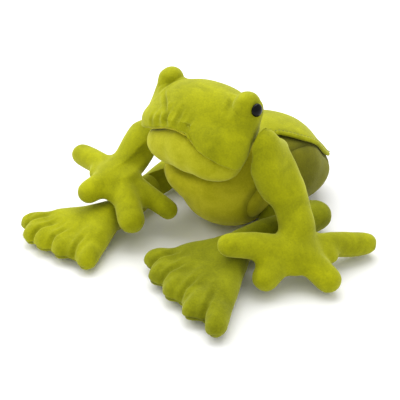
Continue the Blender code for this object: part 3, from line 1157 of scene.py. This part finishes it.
CROWN_FOLDS: tuple[tuple[list[Point], float, float], ...] = (
    ([(-36, -62, 144), (-18, -77, 137), (-7, -84, 127)], 1.8, 1.4),  # the dart over the frog's right eye
    ([(-30, -82, 134), (-27, -88, 119)], 1.7, 0.9),
    ([(-21, -80, 137), (-18, -88, 121)], 1.7, 1.1),
    ([(-12, -77, 141), (-8, -88, 124)], 1.8, 1.2),
    ([(1, -76, 144), (3, -88, 126)], 1.8, 1.0),
    ([(16, -78, 141), (13, -87, 126)], 1.8, 0.8),
    ([(33, -42, 153), (38, -52, 149), (42, -58, 143)], 2.2, 1.3),  # inside the left brow
    ([(-33, -42, 153), (-38, -52, 149), (-42, -58, 143)], 2.2, 1.3),
)
LIP_RISE = (  # how far the lips are pushed up, from the frog's right corner to its left
    (-62.0, 2.0),
    (-45.0, 5.0),
    (-30.0, 9.0),
    (-15.0, 14.0),
    (0.0, 17.0),
    (15.0, 15.0),
    (30.0, 5.0),
    (45.0, 0.0),
    (58.0, -6.0),
    (66.0, -8.0),
)
FACE_HOLLOWS: tuple[tuple[Point, float, float], ...] = (
    ((12, -80, 134), 19.0, 3.6),
    ((30, -84, 124), 13.0, 1.6),
    ((-24, -74, 138), 9.0, 1.0),
)


@dataclass
class Head:
    """The working head: crown, lower jaw, mouth pads, eye bumps and eyes.

    The right eye looks further back than the left one.
    """

    crown_balls: tuple[Ball, ...] = (
        Ball((0, -42, 124), (58, 40, 33)),
        Ball((24, -62, 112), (38, 27, 25)),
        Ball((-24, -62, 112), (38, 27, 25)),
        Ball((0, -66, 112), (34, 24, 24)),
    )
    brow_tubes: tuple[Tube, ...] = (
        Tube((50, -38, 144), (45, -60, 112), 13.5, 18),
        Tube((-50, -38, 144), (-45, -60, 112), 13.5, 18),
        Tube((50, -38, 144), (22, -34, 136), 10, 14),
        Tube((-50, -38, 144), (-22, -34, 136), 10, 14),
    )
    jaw_balls: tuple[Ball, ...] = (
        Ball((17, -57, 91), (37, 31, 20)),
        Ball((-20, -57, 90), (38, 31, 21)),
        Ball((0, -61, 90), (34, 29, 20)),
    )
    mouth_angle: float = 15.0
    crown_rear: float = 136.0
    jaw_rear: float = -79.0
    lip_gap: float = 0.5
    bump: Vector = field(default_factory=lambda: Vector((48, -41, 145)))
    bump_radii: Point = (13, 14, 15)
    eye_aim: dict[Side, Vector] = field(
        default_factory=lambda: {
            Side.LEFT: Vector((0.98, -0.06, 0.12)).normalized(),
            Side.RIGHT: Vector((-0.95, 0.2, 0.12)).normalized(),
        }
    )
    eye_radius: float = 6.0

    def half(self, name: str, balls: tuple[Ball, ...], up: bool) -> Obj:
        """One stuffed half of the head, on its side of the mouth.

        Args:
            name: The new object's name.
            balls: Its filling.
            up: Whether it is the crown.

        Returns:
            The closed skin, before its folds are sewn.
        """
        side = 1 if up else -1
        square = Vector((0, sin(radians(self.mouth_angle)), cos(radians(self.mouth_angle))))
        fillings = list(balls) + (list(self.brow_tubes) if up else [])
        half = skinned(name, fillings, voxel=3.6, relax=6, grow=-0.8)
        trimmed(half, NECK + square * side * self.lip_gap, square * -side)
        rear = around_neck(self.crown_rear + 90) if up else around_neck(self.jaw_rear - 90)
        trimmed(half, NECK, rear)
        room = linked_ball("neck_room", NECK, NECK_ROOM)
        combined(half, room, "DIFFERENCE")
        remeshed(half, 3.0, 4)
        swollen(half, Filling(cap_mm=1.8))
        return finer(half)

    def build(self, shop: Workshop) -> tuple[Obj, Obj]:
        """Make and dress every piece of the head.

        Args:
            shop: The materials.

        Returns:
            The crown and the jaw, for what lies against them.
        """
        crown = self.half("crown_skin", self.crown_balls, True)
        jaw = self.half("jaw_skin", self.jaw_balls, False)
        for lip, depth in ((crown, 2.0), (jaw, 1.6)):
            shaped = Sculpt(lip)
            shaped.waved(40, 0.5, 11)
            self.filled_out(shaped, depth)
            self.pushed_up(shaped)
        shaped = Sculpt(crown)
        for line, width, depth in CROWN_FOLDS:
            shaped.groove(line, width, depth, 0.6, fade=8, shade=0.28)
        for place, radius, depth in FACE_HOLLOWS:
            shaped.dimple(place, radius, depth, 0.05)
        shop.dressed(crown, shop.green, ["crown_shell"])
        shop.dressed(jaw, shop.pale, ["jaw_shell"])
        for side in Side:
            self.build_eye(shop, side, crown)
        pads = self.mouth_pads(shop)
        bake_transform(crown)
        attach(jaw, "lower_jaw")
        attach(pads[0], "head")
        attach(pads[1], "lower_jaw")
        return crown, jaw

    def over_mouth(self, points: np.ndarray) -> np.ndarray:
        """The points' heights over the mouth's plane."""
        a = radians(self.mouth_angle)
        return (points[:, 1] - NECK.y) * sin(a) + (points[:, 2] - NECK.z) * cos(a)

    def filled_out(self, shaped: Sculpt, depth: float) -> None:
        """Fill the skin out to the lip, so that only a thin line shows between crown and jaw.

        Args:
            shaped: The crown or the jaw.
            depth: How far the skin moves out at the lip.
        """
        high = self.over_mouth(shaped.points)
        spread = shaped.points[:, :2] - np.array([NECK.x, NECK.y])
        away = np.linalg.norm(spread, axis=1)
        part = np.exp(-((high / 5.0) ** 2)) * np.clip((away - 44) / 8, 0, 1) * (spread[:, 1] < -4)
        shaped.points[:, :2] += spread / np.maximum(away, 1.0)[:, None] * (depth * part)[:, None]
        # painted shade along the lip line between crown and jaw
        shaped.painted_shade += 0.7 * np.exp(-((high / 1.3) ** 2)) * (away > 46)
        shaped.write()

    def pushed_up(self, shaped: Sculpt) -> None:
        """Push the lips up on the frog's right and down at its left corner, as a worn puppet's lie.

        Args:
            shaped: The skin that follows the lips.
        """
        high = self.over_mouth(shaped.points)
        lift = np.interp(shaped.points[:, 0], [x for x, _ in LIP_RISE], [rise for _, rise in LIP_RISE])
        fade = np.where(high > 0, 24.0, 28.0)
        ahead = np.clip((-38 - shaped.points[:, 1]) / 22, 0, 1)
        ahead = np.maximum(ahead, np.clip((np.abs(shaped.points[:, 0]) - 44) / 12, 0, 1))
        shaped.points[:, 2] += lift * ahead * np.exp(-((high / fade) ** 2))
        shaped.write()

    def mouth_pads(self, shop: Workshop) -> list[Obj]:
        """The plush pads that line the mouth, a little inside the lips."""
        square = Vector((0, sin(radians(self.mouth_angle)), cos(radians(self.mouth_angle))))
        pads = []
        for name, balls, side, node in (
            ("mouth_roof_pad", self.crown_balls, 1, "mouth_roof"),
            ("mouth_floor_pad", self.jaw_balls, -1, "mouth_floor"),
        ):
            pad = skinned(name, balls, voxel=2.5, relax=4, grow=-4.0)
            trimmed(pad, NECK + square * side * 0.25, square * -side)
            trimmed(pad, NECK + square * side * 3.0, square * side)
            combined(pad, linked_ball("neck_room", NECK, NECK_ROOM), "DIFFERENCE")
            remeshed(pad, 1.6, 1)
            self.pushed_up(Sculpt(pad))
            shop.dressed(pad, shop.belly, [node])
            pads.append(pad)
        return pads

    def build_eye(self, shop: Workshop, side: Side, crown: Obj) -> None:
        """A hooded bump with a domed eye set in its outer face.

        Args:
            shop: The materials.
            side: Which eye.
            crown: The crown it sits on; not used.
        """
        s = side.value
        centre = Vector((s * self.bump.x, self.bump.y, self.bump.z))
        aim = self.eye_aim[side]
        a, b, c = self.bump_radii
        root = centre + Vector((-s * 3, -6, -14))
        bump = skinned(
            "eye_bump_skin_" + side.word,
            [Ball(tuple(centre), (a, b, c)), Tube(tuple(centre), tuple(root), 12, 13)],
            voxel=2.0,
            relax=4,
        )
        swollen(bump, Filling(cap_mm=0.8))
        finer(bump)
        seat = centre + aim * (a - 1.2)
        shaped = Sculpt(bump)
        shaped.waved(14, 0.25, 5)
        shaped.dimple(tuple(seat), self.eye_radius * 1.1, 1.6, 0.5)
        r = self.eye_radius
        profile = [(0.0, -9.0), (1.6, -9.0), (1.6, -1.2), (r * 0.95, -1.0), (r, -0.4)]
        profile += [(r * cos(radians(t)), r * 0.58 * sin(radians(t))) for t in range(0, 90, 6)] + [(0.0, r * 0.58)]
        eye = turned_profile("eye_dome_" + side.word, profile, seat + aim * 0.2, aim)
        shop.dressed(bump, shop.green, ["eye_bump_" + side.word])
        shop.dressed(eye, shop.eye, ["eye_" + side.word])
        plate = [(1.9, 0.0), (6.5, 0.0), (6.5, 0.9), (5.6, 1.5), (2.6, 1.5), (1.9, 1.2)]
        washer = turned_profile("washer_" + side.word, plate, seat - aim * 10, aim)
        shop.dressed(washer, shop.washer, ["eye_washer_" + side.word])
        for piece in (bump, eye, washer):
            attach(piece, "head")


def linked_ball(name: str, centre: Vector, radius: float) -> Obj:
    """A plain round cutter."""
    bm = bmesh.new()
    add_ball(bm, Ball(tuple(centre), (radius,) * 3), 0.0)
    return linked(name, bm)


@dataclass
class NeckSleeve:
    """The lined cloth ring that the hand passes and the head turns on."""

    radius: float = 35.0
    wall: float = 3.0
    reach: float = 22.0

    def build(self, shop: Workshop) -> None:
        """Make and dress the sleeve.

        Args:
            shop: The materials.
        """
        axis = (NECK - Vector((0, 128, 18))).normalized()
        outer = [((self.radius**2 - h * h) ** 0.5, h) for h in np.linspace(-self.reach, self.reach, 17)]
        inner = [(r - self.wall, h) for r, h in reversed(outer)]
        sleeve = turned_profile("neck_sleeve", outer + inner, NECK, axis, 72)
        Sculpt(sleeve).waved(16, 0.3, 8)
        shop.dressed(sleeve, shop.green, ["neck_ring"])
        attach(sleeve, "neck")


@dataclass
class Arm:
    """A stuffed arm and its four-fingered hand, in one skin cut at the sewn lines."""

    side: Side
    root: Vector
    shoulder: Vector
    elbow: Vector
    wrist: Vector
    palm: Vector
    fingers: tuple[tuple[Vector, float], ...]
    top: float
    chest: tuple[Tube, ...] = ()
    radius: float = 18.5
    finger_radius: float = 12.5
    inner: float = 66.0

    def build(self, shop: Workshop, beside: Sequence[Obj], under: Sequence[Obj]) -> None:
        """Make and dress the arm.

        Args:
            shop: The materials.
            beside: The pieces beside the upper arm.
            under: The pieces that the hand rests on.
        """
        r = self.radius
        f = self.finger_radius
        fillings: list[Ball | Tube] = [
            Tube(tuple(self.root), tuple(self.shoulder), 11, self.top),
            Tube(tuple(self.shoulder), tuple(self.elbow), self.top, r),
            Tube(tuple(self.elbow), tuple(self.wrist), r, r - 0.5),
            Tube(tuple(self.wrist), tuple(self.palm), r - 1, f + 3),
            Ball(tuple(self.palm), (25, 25, 15)),
        ]
        fillings += [Tube(tuple(self.palm), tuple(tip), f + 1, wide) for tip, wide in self.fingers]
        fillings += self.chest
        for (a, _), (b, _) in zip(self.fingers[:-1], self.fingers[1:]):
            web = (a + b) / 2
            fillings.append(Tube(tuple(self.palm), tuple(self.palm.lerp(web, 0.66)), f + 1, f - 2.5))
        arm = skinned("arm", fillings, voxel=3.6, relax=5, grow=-1.0)
        swollen(arm, Filling(cap_mm=2.2))
        finer(arm)
        shaped = Sculpt(arm)
        shaped.waved(38, 0.5, 20 + self.side.value)
        for piece in under:
            shaped.pushed_out_of(piece, 0.8)
        for piece in beside:
            shaped.pushed_out_of(piece, 1.2)
        s = self.side.value
        high = np.clip((shaped.points[:, 2] - 62) / 10, 0, 1)
        ahead = np.clip((-12 - shaped.points[:, 1]) / 8, 0, 1)
        short = np.clip(self.inner - s * shaped.points[:, 0], 0, None)
        shaped.points[:, 0] += s * short * high * ahead
        shaped.write()
        self.parted(shop, arm)

    def parted(self, shop: Workshop, arm: Obj) -> None:
        """Cut the arm's skin at its sewn lines and dress each part."""
        word = self.side.word
        first = self.shoulder.lerp(self.elbow, 0.55)
        second = self.elbow.lerp(self.wrist, 0.5)
        one = (self.elbow - self.shoulder).normalized()
        two = (self.wrist - self.elbow).normalized()
        upper = trimmed(twin(arm, "upper_arm_skin_" + word), first, one)
        middle = trimmed(trimmed(twin(arm, "forearm_skin_" + word), first, -one), second, two)
        hand = trimmed(twin(arm, "hand_skin_" + word), second, -two)
        bpy.data.objects.remove(arm)
        parts = (
            (upper, "torso", "upper_arm_", ["upper_arm_" + word], self.shoulder, one),
            (middle, "upper_arm_", "forearm_", ["forearm_" + word], self.elbow, two),
            (hand, "forearm_", "hand_", ["hand_back_" + word, "hand_palm_" + word], self.wrist, two),
        )
        for piece, a, b, nodes, joint, way in parts:
            shop.dressed(piece, shop.green, nodes)
            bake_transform(piece)


@dataclass
class Leg:
    """A stuffed leg folded under the body, and its flat, quilted, webbed foot."""

    side: Side
    hip: Vector
    knee: Vector
    ankle: Vector
    toes: tuple[Vector, ...]
    radius: float = 17.0
    toe_radius: float = 11.0
    web: float = 0.07  # how far back from the toe tips the web starts, as a share of the foot

    def skin(self) -> Obj:
        """The leg and foot in one skin, flat on the floor, with its quilting."""
        r = self.radius
        middle = self.ankle.lerp(self.toes[2], 0.4)
        fillings: list[Ball | Tube] = [
            Tube(tuple(self.hip), tuple(self.knee), r, r),
            Tube(tuple(self.knee), tuple(self.ankle), r, r),
            Tube(tuple(self.ankle), tuple(middle), r - 1, r - 3),
        ]
        fillings += [Tube(tuple(self.ankle), tuple(tip), r - 3, self.toe_radius) for tip in self.toes]
        for a, b in zip(self.toes[:-1], self.toes[1:]):
            web = ((a + b) / 2).lerp(self.ankle, self.web)
            fillings.append(Tube(tuple(self.ankle), tuple(web), r - 1, self.toe_radius))
        leg = skinned("leg", fillings, voxel=3.6, relax=4, grow=-1.0)
        swollen(leg, Filling(cap_mm=2.0))
        finer(leg)
        shaped = Sculpt(leg)
        shaped.waved(34, 0.4, 30 + self.side.value)
        for a, b in zip(self.toes[:-1], self.toes[1:]):
            edge = (a + b) / 2
            start = edge.lerp(self.ankle, -0.06)
            over = edge.lerp(self.ankle, 0.12)
            stop = edge.lerp(self.ankle, 0.26)
            line = [(start.x, start.y, 6), (over.x, over.y, 24), (stop.x, stop.y, 34)]
            shaped.groove(line, 2.2, 2.4, 0.3, fade=8, shade=0.2)
        for tip in self.toes:
            back = tip.lerp(self.ankle, 0.22)
            shaped.dimple((back.x, back.y, 24), 8.0, 2.0, 0.08)
        shaped.groove(self.edge(), 1.3, 1.2, 0.5, fade=4)
        shaped.rested(1.0)
        return leg

    def edge(self) -> list[Point]:
        """The line where the foot's two panels are sewn, round the toes and down into each gap."""
        line: list[Point] = []
        for k, tip in enumerate(self.toes):
            ahead = (tip - self.ankle).normalized() * self.toe_radius
            line.append((tip.x + ahead.x, tip.y + ahead.y, 8.0))
            if k + 1 < len(self.toes):
                gap = ((tip + self.toes[k + 1]) / 2).lerp(self.ankle, 0.04)
                line.append((gap.x, gap.y, 9.0))
        return line

    def parted(self, shop: Workshop, leg: Obj) -> tuple[Obj, Obj]:
        """Cut the leg's skin at its sewn lines and dress each part.

        Args:
            shop: The materials.
            leg: The whole leg, which is used up.

        Returns:
            The shin and the foot.
        """
        word = self.side.word
        first = self.hip.lerp(self.knee, 0.5)
        second = self.knee.lerp(self.ankle, 0.5)
        one = (self.knee - self.hip).normalized()
        two = (self.ankle - self.knee).normalized()
        three = (self.toes[2] - self.ankle).normalized()
        upper = Tube(tuple(self.hip), tuple(self.knee), self.radius, self.radius)
        thigh = skinned("thigh_skin_" + word, [upper], 3.6, 5, 0.3)
        trimmed(finer(thigh), first, one)
        shin = trimmed(trimmed(twin(leg, "shin_skin_" + word), first, -one), second, two)
        foot = trimmed(twin(leg, "foot_skin_" + word), second, -two)
        bpy.data.objects.remove(leg)
        parts = (
            (thigh, "torso", "thigh_", ["thigh_" + word], self.hip, one, 9),
            (shin, "thigh_", "shin_", ["shin_" + word], self.knee, two, 9),
            (foot, "shin_", "foot_", ["foot_top_" + word, "foot_sole_" + word], self.ankle, three, 12),
        )
        for piece, a, b, nodes, joint, way, half in parts:
            pile = shop.foot if self.side is Side.LEFT else shop.green  # the left leg gets a darker copy of the velour: painted shade
            shop.dressed(piece, pile, nodes)
            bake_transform(piece)
        return shin, foot


ARMS = {
    Side.LEFT: Arm(
        Side.LEFT,
        root=Vector((52, 4, 92)),
        shoulder=Vector((68, -25, 103)),
        elbow=Vector((83, -22, 71)),
        wrist=Vector((108, -36, 44)),
        palm=Vector((113, -46, 30)),
        fingers=(
            (Vector((84, -102, 46)), 12.5),
            (Vector((113, -86, 17)), 13.5),
            (Vector((152, -46, 15)), 13.5),
            (Vector((144, 28, 14)), 12.5),
        ),
        top=15.5,
        chest=(
            Tube((64, -38, 114), (69, -30, 100), 17, 17.5),
            Tube((71, -39, 95), (80, -32, 72), 18, 17.5),
        ),
    ),
    Side.RIGHT: Arm(
        Side.RIGHT,
        root=Vector((-52, -2, 84)),
        shoulder=Vector((-65, -22, 90)),
        elbow=Vector((-83, -48, 77)),
        wrist=Vector((-77, -74, 61)),
        palm=Vector((-73, -94, 56)),
        fingers=(
            (Vector((-134, -92, 55)), 12.5),
            (Vector((-74, -131, 49)), 13.0),
            (Vector((-27, -117, 31)), 14.5),
            (Vector((-20, -75, 27)), 11.5),
        ),
        top=13.5,
        radius=19.5,
    ),
}
LEGS = {
    Side.LEFT: Leg(
        Side.LEFT,
        hip=Vector((58, -4, 21)),
        knee=Vector((86, 28, 21)),
        ankle=Vector((68, -66, 20)),
        toes=(
            Vector((16, -130, 13)),
            Vector((36, -144, 12)),
            Vector((62, -151, 12)),
            Vector((94, -157, 12)),
            Vector((123, -157, 12)),
        ),
    ),
    Side.RIGHT: Leg(
        Side.RIGHT,
        hip=Vector((-58, 6, 21)),
        knee=Vector((-90, 8, 21)),
        ankle=Vector((-62, -108, 20)),
        toes=(
            Vector((-122, -172, 12)),
            Vector((-102, -184, 12)),
            Vector((-82, -184, 12)),
            Vector((-57, -180, 12)),
            Vector((-26, -172, 12)),
        ),
    ),
}


@dataclass
class Studio:
    """A white floor, a broad top light, a soft key light and the camera."""

    target: Vector = field(default_factory=lambda: Vector((-43.7, -5.5, 0)))
    azimuth: float = 44.0
    elevation: float = 30.0
    distance: float = 750.0
    view_deg: float = 32.7

    def build(self) -> None:
        """Set up the floor, lights, world and camera."""
        scene = bpy.context.scene
        scene.view_settings.view_transform = "Standard"
        bm = bmesh.new()
        bmesh.ops.create_grid(bm, x_segments=2, y_segments=2, size=4.0)
        floor = linked("floor", bm)
        paper = bpy.data.materials.new("white_paper_sweep")
        paper.use_nodes = True
        shader = paper.node_tree.nodes["Principled BSDF"]
        shader.inputs["Base Color"].default_value = (0.93, 0.93, 0.93, 1)
        shader.inputs["Roughness"].default_value = 0.9
        floor.data.materials.append(paper)
        world = bpy.data.worlds.new("studio")
        scene.world = world
        world.use_nodes = True
        sky = world.node_tree.nodes["Background"]
        sky.inputs["Color"].default_value = (1, 1, 1, 1)
        sky.inputs["Strength"].default_value = 0.85
        self.lamp("top_light", (-0.25, 0.25, 1.1), (0.0, 0.0, 0.05), 1.1, 11.0)
        self.lamp("key_light", (-0.9, -0.5, 0.9), (0.0, -0.03, 0.05), 0.7, 5.0)
        a, e = radians(self.azimuth), radians(self.elevation)
        back = Vector((sin(a) * cos(e), -cos(a) * cos(e), sin(e)))
        camera = bpy.data.objects.new("camera", bpy.data.cameras.new("camera"))
        scene.collection.objects.link(camera)
        camera.data.sensor_width = 36.0
        camera.data.lens = 18.0 / tan(radians(self.view_deg / 2))
        camera.data.clip_start = 0.01
        camera.location = (self.target + back * self.distance) * MM
        camera.rotation_mode = "QUATERNION"
        camera.rotation_quaternion = (-back).to_track_quat("-Z", "Y")
        scene.camera = camera

    def lamp(self, name: str, place: Point, aim: Point, size: float, power: float) -> None:
        """One square soft light.

        Args:
            name: Its name.
            place: Where it is, in metres.
            aim: Where it points, in metres.
            size: Its side in metres.
            power: Its power in watts.
        """
        light = bpy.data.lights.new(name, "AREA")
        light.shape = "SQUARE"
        light.size = size
        light.energy = power
        lamp = bpy.data.objects.new(name, light)
        bpy.context.scene.collection.objects.link(lamp)
        lamp.location = place
        lamp.rotation_mode = "QUATERNION"
        lamp.rotation_quaternion = (Vector(aim) - Vector(place)).to_track_quat("-Z", "Y")


def main() -> None:
    """Load the frame, build the frog round it and set up the studio."""
    logging.basicConfig(level=logging.INFO, format="%(name)s: %(message)s")
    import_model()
    shop = Workshop()
    shins, feet = [], []
    for side in Side:
        shin, foot = LEGS[side].parted(shop, LEGS[side].skin())
        shins.append(shin)
        feet.append(foot)
    crown, jaw = Head().build(shop)
    Torso().build(shop, shins)
    NeckSleeve().build(shop)
    for side in Side:
        ARMS[side].build(shop, [crown, jaw], shins + feet)
    Studio().build()
    bpy.context.view_layer.update()


if __name__ == "__main__":
    main()
